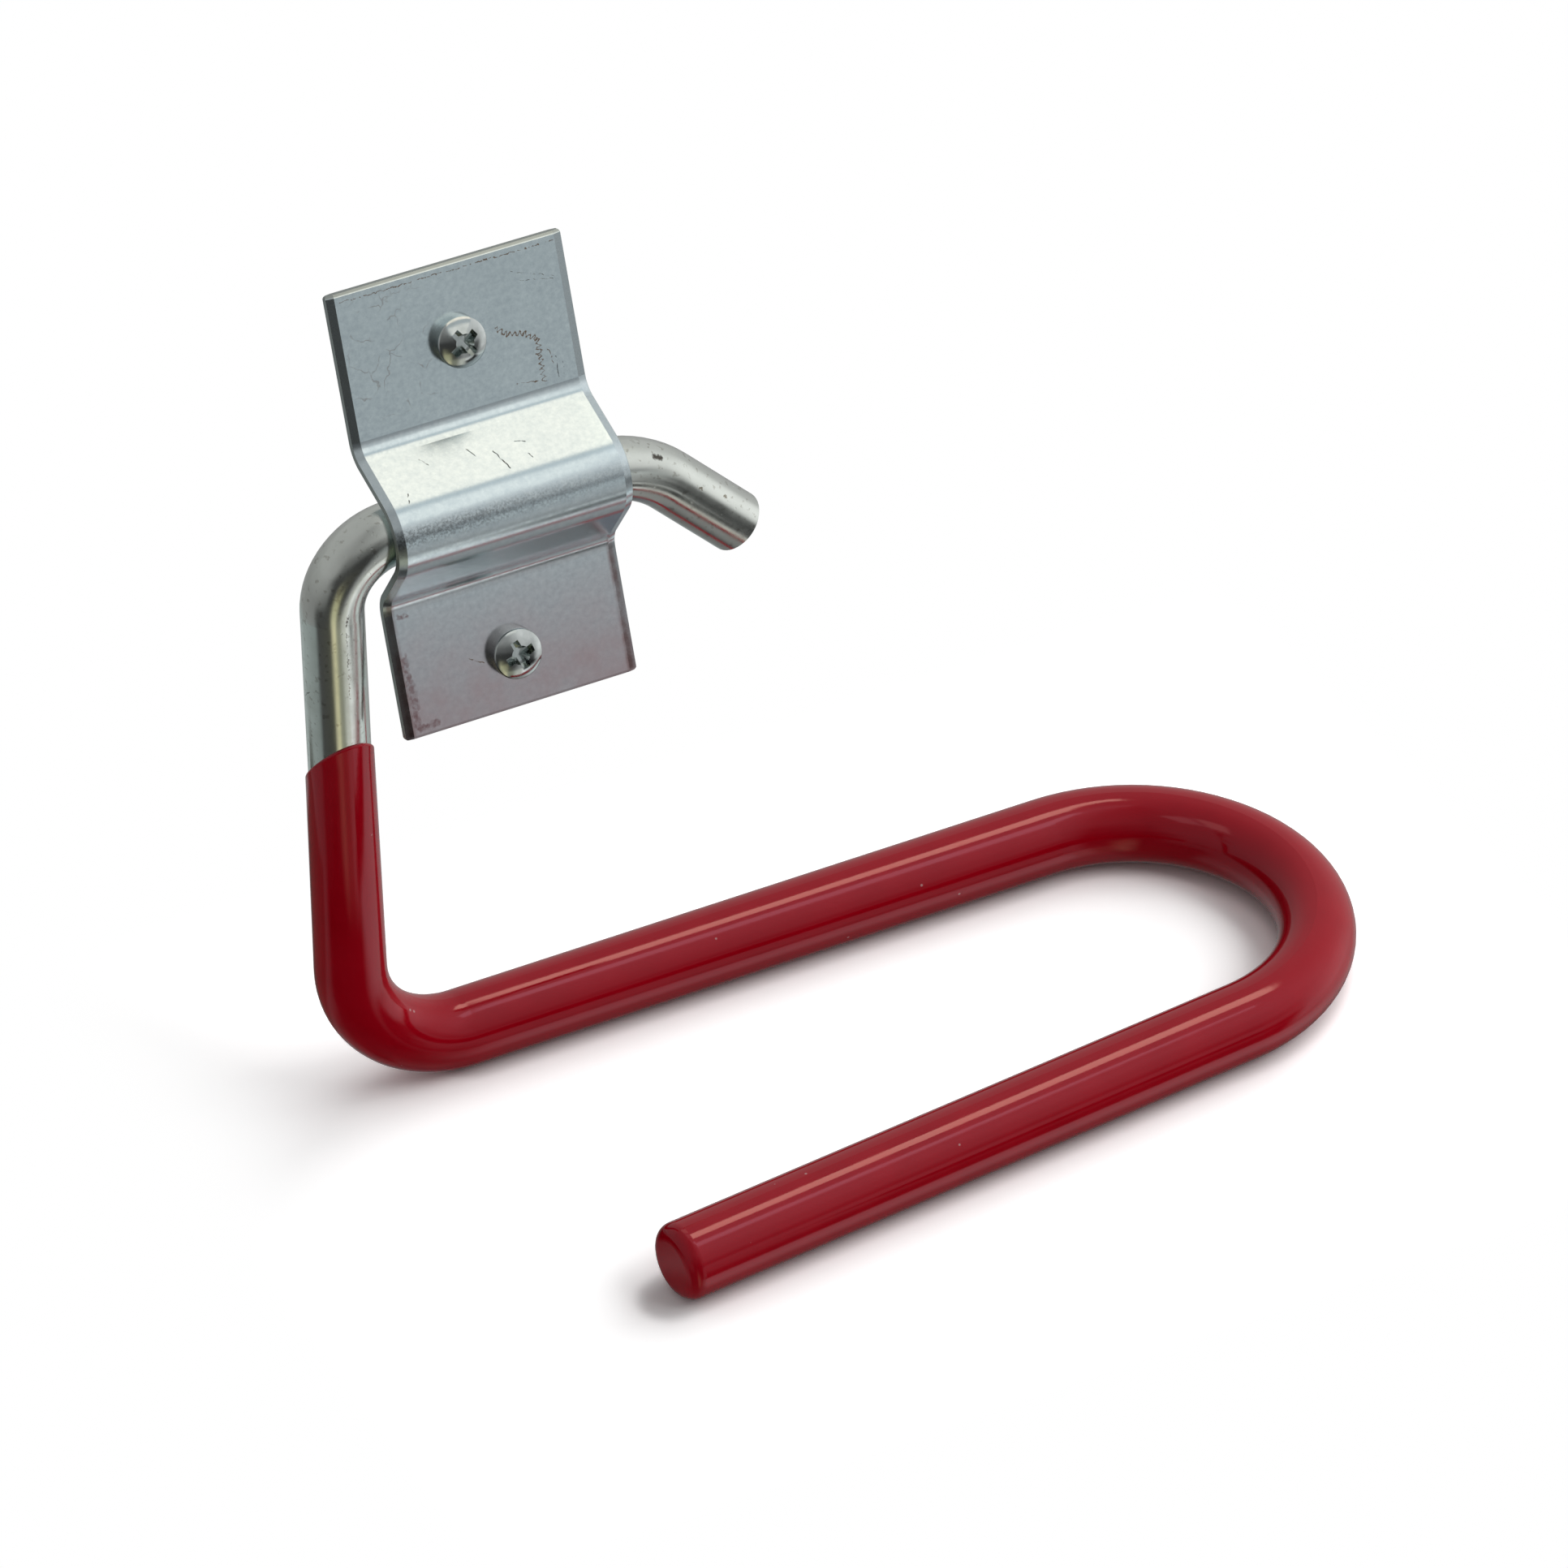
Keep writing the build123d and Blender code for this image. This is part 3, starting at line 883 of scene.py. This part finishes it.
@dataclass
class MountingScrews:
    """The two screws: heads as in the CAD node, with threads cut on their shanks. Sizes in mm."""

    node: str = "mounting_screws"
    slot: str = "screw_steel"
    finish: Finish = ZincedScrew()
    lean_deg: float = LEAN_DEG
    pitch: float = 51.0
    sheet: float = SHEET_MM
    length: float = 20.0
    point: float = 5.0
    point_curve: float = 0.75
    core: float = 3.1
    crest: float = 4.2
    thread_pitch: float = 1.4
    flank_share: float = 0.26
    steps_round: int = 40
    steps_per_turn: int = 14
    weld: float = 0.001
    seam: float = 0.01
    sharp_deg: float = 35.0

    def bracket_frame(self) -> Matrix:
        """Return the bracket's own frame: across, up along the flanges and out from the wall."""
        return Matrix.Rotation(math.radians(90 - self.lean_deg), 4, "X")

    def radius_at(self, depth: float, turn: float) -> float:
        """Work out the threaded shank's radius.

        Args:
            depth: Distance under the head, in mm.
            turn: Share of a turn round the shank.

        Returns:
            Radius in mm.
        """
        phase = (depth / self.thread_pitch + turn) % 1.0
        ridge = max(0.0, 1.0 - abs(phase - 0.5) / self.flank_share)
        ridge *= min(1.0, max(0.0, (depth - self.sheet) / self.thread_pitch))
        taper = min(1.0, (self.length - depth) / self.point) ** self.point_curve
        return taper * (self.core + (self.crest - self.core) * ridge) / 2

    def add_shank(self, mesh: bmesh.types.BMesh, place: Matrix) -> None:
        """Add one threaded shank to the mesh.

        Args:
            mesh: Mesh that gets the shank.
            place: Frame with its origin under the head and its shank pointing down, in mm.
        """
        rows = int(self.length / self.thread_pitch * self.steps_per_turn)
        rings = []
        for row in range(rows):
            depth = self.length * row / rows
            ring = []
            for step in range(self.steps_round):
                turn = step / self.steps_round
                radius = self.radius_at(depth, turn)
                angle = math.tau * turn
                spot = Vector((radius * math.cos(angle), radius * math.sin(angle), -depth))
                ring.append(mesh.verts.new(place @ spot))
            rings.append(ring)
        tip = mesh.verts.new(place @ Vector((0, 0, -self.length)))
        for step in range(self.steps_round):
            after = (step + 1) % self.steps_round
            for upper, lower in zip(rings, rings[1:]):
                mesh.faces.new((upper[after], upper[step], lower[step], lower[after]))
            mesh.faces.new((rings[-1][after], rings[-1][step], tip))

    def build(self) -> bpy.types.Object:
        """Make the threaded screws from the CAD heads and new shanks.

        Returns:
            One object with both screws.
        """
        mesh = bmesh.new()
        mesh.from_mesh(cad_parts[self.node].data)
        bmesh.ops.remove_doubles(mesh, verts=mesh.verts, dist=self.weld * MM)
        own = self.bracket_frame()
        back = own.inverted()
        under = (self.sheet - self.seam) * MM
        shanks = [face for face in mesh.faces if min((back @ v.co).z for v in face.verts) < under]
        bmesh.ops.delete(mesh, geom=shanks, context="FACES")
        for side in (0.5, -0.5):
            seat = Matrix.Translation((0, side * self.pitch * MM, self.sheet * MM))
            self.add_shank(mesh, own @ seat @ Matrix.Scale(MM, 4))
        for edge in mesh.edges:
            edge.smooth = edge.calc_face_angle(0.0) < math.radians(self.sharp_deg)
        for face in mesh.faces:
            face.smooth = True
        data = bpy.data.meshes.new("threaded_screws")
        mesh.to_mesh(data)
        mesh.free()
        piece = bpy.data.objects.new("threaded_screws", data)
        bpy.context.scene.collection.objects.link(piece)
        return piece

    def dress(self) -> bpy.types.Object:
        """Build the screws, set them in the bracket and finish them.

        Returns:
            The screws' object.
        """
        piece = self.build()
        piece.data.materials.clear()
        piece.data.materials.append(self.finish.material())
        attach(piece, Body.BRACKET.value)
        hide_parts(self.node)
        LOG.info(
            "%s on the %s: %s, %d faces",
            piece.name, Body.BRACKET.value, self.finish.name, len(piece.data.polygons))
        return piece


def heading(azimuth: float, elevation: float) -> Vector:
    """Turn an azimuth and elevation into a direction.

    Args:
        azimuth: Degrees from the front towards the right.
        elevation: Degrees above the table.

    Returns:
        Unit vector from the object.
    """
    across, up = math.radians(azimuth), math.radians(elevation)
    return Vector((math.sin(across) * math.cos(up), -math.cos(across) * math.cos(up), math.sin(up)))


@dataclass(frozen=True)
class SoftLamp:
    """A square soft lamp that lights matt surfaces. Level is what a white surface facing it shows."""

    name: str
    azimuth: float
    elevation: float
    level: float
    size: float
    distance: float = 1.4

    def build(self) -> None:
        """Add the lamp, aimed at the object."""
        data = bpy.data.lights.new(self.name, "AREA")
        data.size = self.size
        data.energy = self.level * math.pi**2 * self.distance**2
        lamp = bpy.data.objects.new(self.name, data)
        way = heading(self.azimuth, self.elevation)
        lamp.location = way * self.distance
        lamp.rotation_euler = way.to_track_quat("Z", "Y").to_euler()
        lamp.visible_glossy = False
        bpy.context.scene.collection.objects.link(lamp)


@dataclass(frozen=True)
class Panel:
    """A bright panel in the studio that shiny surfaces mirror, between two azimuths and elevations."""

    azimuth: Pair
    elevation: Pair
    soft: float
    colour: str
    strength: float


@dataclass(frozen=True)
class Ring:
    """What shiny surfaces mirror at one elevation, as azimuths in degrees with their colours."""

    elevation: float
    stops: tuple[tuple[float, str], ...]


@dataclass(frozen=True)
class Card:
    """A level card near the object that glows at its colour, though it is no lamp, and that only shiny surfaces mirror:
    a painted reflection. Sizes in mm.
    """

    name: str
    across: Pair
    along: Pair
    height: float
    colour: str
    strength: float = 1.0
    soft: float = 6.0

    def build(self) -> bpy.types.Object:
        """Add the card.

        Returns:
            The card's object.
        """
        (left, right), (front, back) = self.across, self.along
        corners = [(left, front), (right, front), (right, back), (left, back)]
        data = bpy.data.meshes.new(self.name)
        data.from_pydata([(x * MM, y * MM, self.height * MM) for x, y in corners], [], [(0, 1, 2, 3)])
        finish = FeatheredCard(
            colour=self.colour, strength=self.strength, across=self.across, along=self.along, soft=self.soft)
        data.materials.append(finish.material())
        card = bpy.data.objects.new(self.name, data)
        card.visible_camera = False
        card.visible_diffuse = False
        card.visible_shadow = False
        bpy.context.scene.collection.objects.link(card)
        return card


# What the bare leg mirrors, all round: a dark card on the left, a warm strip, a gap, then a pale wall on the right
ROUND_THE_LEG = (
    (-180.0, "#A8B0B0"), (-90.0, "#889090"), (-80.0, "#484848"), (-35.0, "#505048"), (-25.0, "#D0C8A8"),
    (-20.0, "#E8E0B8"), (-10.0, "#989888"), (0.0, "#989888"), (10.0, "#D8D8D0"), (20.0, "#D8D8D0"),
    (25.0, "#FFFFFF"), (60.0, "#E8F0F0"), (100.0, "#B0B8B8"), (130.0, "#A0A0A0"), (180.0, "#A8B0B0"),
)


@dataclass
class Studio:
    """Table, lamps and the surroundings that shiny surfaces mirror."""

    table_mm: float = -102.71
    table_size: float = 8.0
    ambient: float = 0.42
    lamps: tuple[SoftLamp, ...] = (
        SoftLamp("key_lamp", 100.0, 34.0, 0.88, 1.6),
        SoftLamp("fill_lamp", 45.0, 42.0, 0.24, 0.7),
    )
    panels: tuple[Panel, ...] = (
        Panel((95.0, 126.0), (55.0, 71.0), 1.5, "#FFF8DA", 5.2),
        Panel((124.0, 145.0), (63.5, 71.0), 1.5, "#FFF8DA", 5.2),
        Panel((46.0, 66.0), (54.0, 72.0), 2.5, "#F4F8FF", 2.4),
    )
    # Cards glow at their colour, though they are no lamps, and only shiny surfaces see them: painted reflections,
    # bright above the bracket and dark on the table
    cards: tuple[Card, ...] = (
        Card("leg_card", (-110.0, 4.0), (-80.0, 0.0), -102.6, "#000000", soft=12.0),
        Card("side_card", (-105.0, -24.0), (0.0, 80.0), -102.6, "#5A5C58", soft=4.0),
        Card("tail_card", (40.0, 165.0), (-160.0, -88.0), -102.6, "#202020", soft=12.0),
        Card("slope_card", (-16.0, 46.0), (-14.0, 30.0), 59.0, "#FFF6E9", 1.3, 2.0),
        Card("crown_card", (-16.0, 48.0), (-70.0, -20.0), 59.0, "#FFFEFA", 1.0, 5.0),
        Card("gap_card", (-18.0, 50.0), (-70.0, 32.0), 60.0, "#C0C8CC", soft=4.0),
    )
    # What is mirrored at each elevation: azimuths in degrees with their greys, and a pale yellow strip
    rings: tuple[Ring, ...] = (
        Ring(-62.0, ((-180.0, "#7C7C7C"), (-85.0, "#404040"), (-30.0, "#585858"), (0.0, "#888888"),
                     (50.0, "#989898"), (100.0, "#7C7C7C"), (129.0, "#646A72"), (180.0, "#7C7C7C"))),
        Ring(-42.0, ROUND_THE_LEG),
        Ring(-34.0, ROUND_THE_LEG),
        Ring(-28.0, ((-180.0, "#9C9C9C"), (-95.0, "#888888"), (-80.0, "#444444"), (-36.0, "#444444"),
                     (-27.0, "#D8D4B0"), (-18.0, "#D0CCA8"), (-9.0, "#585850"), (0.0, "#585858"), (15.0, "#A0A0A0"),
                     (24.0, "#949494"), (29.0, "#3C3C3C"), (47.0, "#303030"), (58.0, "#BCBCBC"), (83.0, "#CCCCCC"),
                     (110.0, "#ACACAC"), (180.0, "#9C9C9C"))),
        Ring(-20.0, ((-180.0, "#9C9C9C"), (-95.0, "#888888"), (-80.0, "#444444"), (-36.0, "#444444"),
                     (-27.0, "#C4C09C"), (-18.0, "#B8B490"), (-9.0, "#484844"), (4.0, "#444444"), (15.0, "#ACACAC"),
                     (27.0, "#B4B4B4"), (33.0, "#484848"), (40.0, "#303030"), (49.0, "#303030"), (60.0, "#E8E8E8"),
                     (83.0, "#DCDCDC"), (110.0, "#ACACAC"), (180.0, "#9C9C9C"))),
        Ring(-10.0, ((-180.0, "#9C9C9C"), (-95.0, "#888888"), (-56.0, "#747474"), (-46.0, "#404040"),
                     (-36.0, "#404040"), (-27.0, "#98947C"), (-18.0, "#4C4A44"), (4.0, "#383838"), (15.0, "#B4B7B8"),
                     (36.0, "#A4A4A4"), (44.0, "#585858"), (52.0, "#585858"), (63.0, "#F4F4F4"), (80.0, "#FFFFFF"),
                     (96.0, "#E8E8E8"), (110.0, "#BCBCBC"), (180.0, "#9C9C9C"))),
        Ring(1.0, ((-180.0, "#A4A4A4"), (-95.0, "#989898"), (-54.0, "#888888"), (-44.0, "#444444"), (5.0, "#383838"),
                   (15.0, "#B2B6B7"), (25.0, "#C4C8C9"), (44.0, "#B4B6B6"), (56.0, "#C4C4C4"), (64.0, "#F0F0F0"),
                   (78.0, "#FFFFFF"), (94.0, "#F6F6F6"), (108.0, "#C4C4C4"), (180.0, "#A4A4A4"))),
        Ring(7.0, ((-180.0, "#A4A4A4"), (-95.0, "#A0A0A0"), (-68.0, "#989898"), (-54.0, "#606060"), (-44.0, "#444444"),
                   (5.0, "#383838"), (15.0, "#808284"), (34.0, "#888A8C"), (56.0, "#C4C4C4"), (64.0, "#F0F0F0"),
                   (78.0, "#FFFFFF"), (94.0, "#F6F6F6"), (108.0, "#C8C8C8"), (180.0, "#A8A8A8"))),
        Ring(20.0, ((-180.0, "#B4B4B4"), (-95.0, "#ACACAC"), (-58.0, "#A0A0A0"), (-40.0, "#707070"), (0.0, "#606060"),
                    (14.0, "#A0A0A0"), (24.0, "#C8C8C8"), (45.0, "#DCDCDC"), (80.0, "#F4F4F4"), (110.0, "#CCCCCC"),
                    (180.0, "#B4B4B4"))),
        Ring(42.0, ((-180.0, "#B4B4B4"), (-95.0, "#ACACAC"), (-40.0, "#949494"), (0.0, "#ACACAC"),
                    (27.0, "#DCDCDC"), (45.0, "#F8F8F8"), (80.0, "#E8E8E8"), (110.0, "#CCCCCC"),
                    (180.0, "#B4B4B4"))),
    )

    def build_table(self) -> bpy.types.Object:
        """Add the table under the object.

        Returns:
            The table's object.
        """
        data = bpy.data.meshes.new("table")
        mesh = bmesh.new()
        bmesh.ops.create_grid(mesh, x_segments=1, y_segments=1, size=self.table_size / 2)
        mesh.to_mesh(data)
        mesh.free()
        table = bpy.data.objects.new("table", data)
        table.location.z = self.table_mm * MM
        data.materials.append(PaleTable().material())
        bpy.context.scene.collection.objects.link(table)
        return table

    def colours_round(self, tree: Tree, turn: Socket, stops: Sequence[tuple[float, str]]) -> Socket:
        """Lay colours round the horizon.

        Args:
            tree: The world's node tree.
            turn: Azimuth as a share of a full turn, from the back.
            stops: Azimuths in degrees with their colours.

        Returns:
            The colour socket.
        """
        places = [((azimuth + 180) / 360, linear(colour)) for azimuth, colour in stops]
        return add_node(tree, "ValToRGB", {"Fac": turn}, places).outputs["Color"]

    def build_surroundings(self) -> None:
        """Make the world: white to the camera, plain light on matt surfaces, a studio in shiny ones."""
        world = bpy.data.worlds.new("studio")
        bpy.context.scene.world = world
        world.use_nodes = True
        world.cycles.sampling_method = "NONE"
        tree = world.node_tree
        tree.nodes.clear()
        way = add_node(tree, "SeparateXYZ", {0: add_node(tree, "TexCoord").outputs["Generated"]})
        front = add_node(tree, "Math", {0: way.outputs["Y"], 1: -1.0}, operation="MULTIPLY").outputs[0]
        across = add_node(tree, "Math", {0: way.outputs["X"], 1: front}, operation="ARCTAN2").outputs[0]
        azimuth = add_node(tree, "Math", {0: across}, operation="DEGREES").outputs[0]
        steep = add_node(tree, "Math", {0: way.outputs["Z"]}, operation="ARCSINE").outputs[0]
        elevation = add_node(tree, "Math", {0: steep}, operation="DEGREES").outputs[0]
        turn = add_node(tree, "MapRange", {
            "Value": azimuth, "From Min": -180.0, "From Max": 180.0}).outputs["Result"]
        mirrored = self.colours_round(tree, turn, self.rings[0].stops)
        for below, ring in zip(self.rings, self.rings[1:]):
            above = add_node(tree, "MapRange", {
                "Value": elevation, "From Min": below.elevation, "From Max": ring.elevation},
                interpolation_type="SMOOTHSTEP").outputs["Result"]
            mirrored = add_node(tree, "Mix", {
                0: above, 6: mirrored, 7: self.colours_round(tree, turn, ring.stops)}, data_type="RGBA").outputs[2]
        for panel in self.panels:
            lit = add_node(tree, "Math", {
                0: between(tree, azimuth, *panel.azimuth, panel.soft),
                1: between(tree, elevation, *panel.elevation, panel.soft)}, operation="MULTIPLY").outputs[0]
            glow = tuple(panel.strength * channel for channel in linear(panel.colour)[:3]) + (1.0,)
            mirrored = add_node(tree, "Mix", {0: lit, 6: mirrored, 7: glow}, data_type="RGBA").outputs[2]
        rays = add_node(tree, "LightPath")
        plain = add_node(tree, "Background", {"Strength": self.ambient}).outputs["Background"]
        shiny = add_node(tree, "Background", {"Color": mirrored}).outputs["Background"]
        white = add_node(tree, "Background", {"Color": linear(WHITE)}).outputs["Background"]
        lights = add_node(tree, "MixShader", {0: rays.outputs["Is Glossy Ray"], 1: plain, 2: shiny}).outputs[0]
        seen = add_node(tree, "MixShader", {0: rays.outputs["Is Camera Ray"], 1: lights, 2: white}).outputs[0]
        add_node(tree, "OutputWorld", {"Surface": seen})

    def build(self) -> None:
        """Add the table, the lamps and the surroundings."""
        self.build_table()
        for stand in (*self.lamps, *self.cards):
            stand.build()
        self.build_surroundings()
        bpy.context.scene.view_settings.view_transform = "Standard"
        LOG.info(
            "studio: table, %d lamps, %d mirrored panels and %d cards",
            len(self.lamps), len(self.panels), len(self.cards))


@dataclass
class PhotoCamera:
    """Camera at the photograph's viewing angle. Angles in degrees, places in mm."""

    azimuth: float = -27.2726
    elevation: float = 35.737
    roll: float = -1.0503
    distance: float = 1537.47
    aim: Point = (44.293, -14.309, -61.592)
    lens: float = 222.715
    sensor: float = 36.0

    def build(self) -> bpy.types.Object:
        """Add the camera and make it the scene's own.

        Returns:
            The camera's object.
        """
        data = bpy.data.cameras.new("photo_camera")
        data.lens = self.lens
        data.sensor_width = self.sensor
        camera = bpy.data.objects.new("photo_camera", data)
        back = heading(self.azimuth, self.elevation)
        camera.location = (Vector(self.aim) + back * self.distance) * MM
        camera.rotation_mode = "QUATERNION"
        level = (-back).to_track_quat("-Z", "Y")
        camera.rotation_quaternion = level @ Quaternion((0, 0, 1), math.radians(self.roll))
        bpy.context.scene.collection.objects.link(camera)
        bpy.context.scene.camera = camera
        LOG.info("camera: %.1f mm lens, %.0f mm away", self.lens, self.distance)
        return camera


def main() -> None:
    """Dress the ski holder and set it in the studio."""
    logging.basicConfig(level=logging.INFO, format="%(name)s %(message)s")
    PhotoCamera().build()
    Studio().build()
    HookRod().dress()
    GripCoat().dress()
    SaddleBracket().dress()
    MountingScrews().dress()


if __name__ == "__main__":
    main()
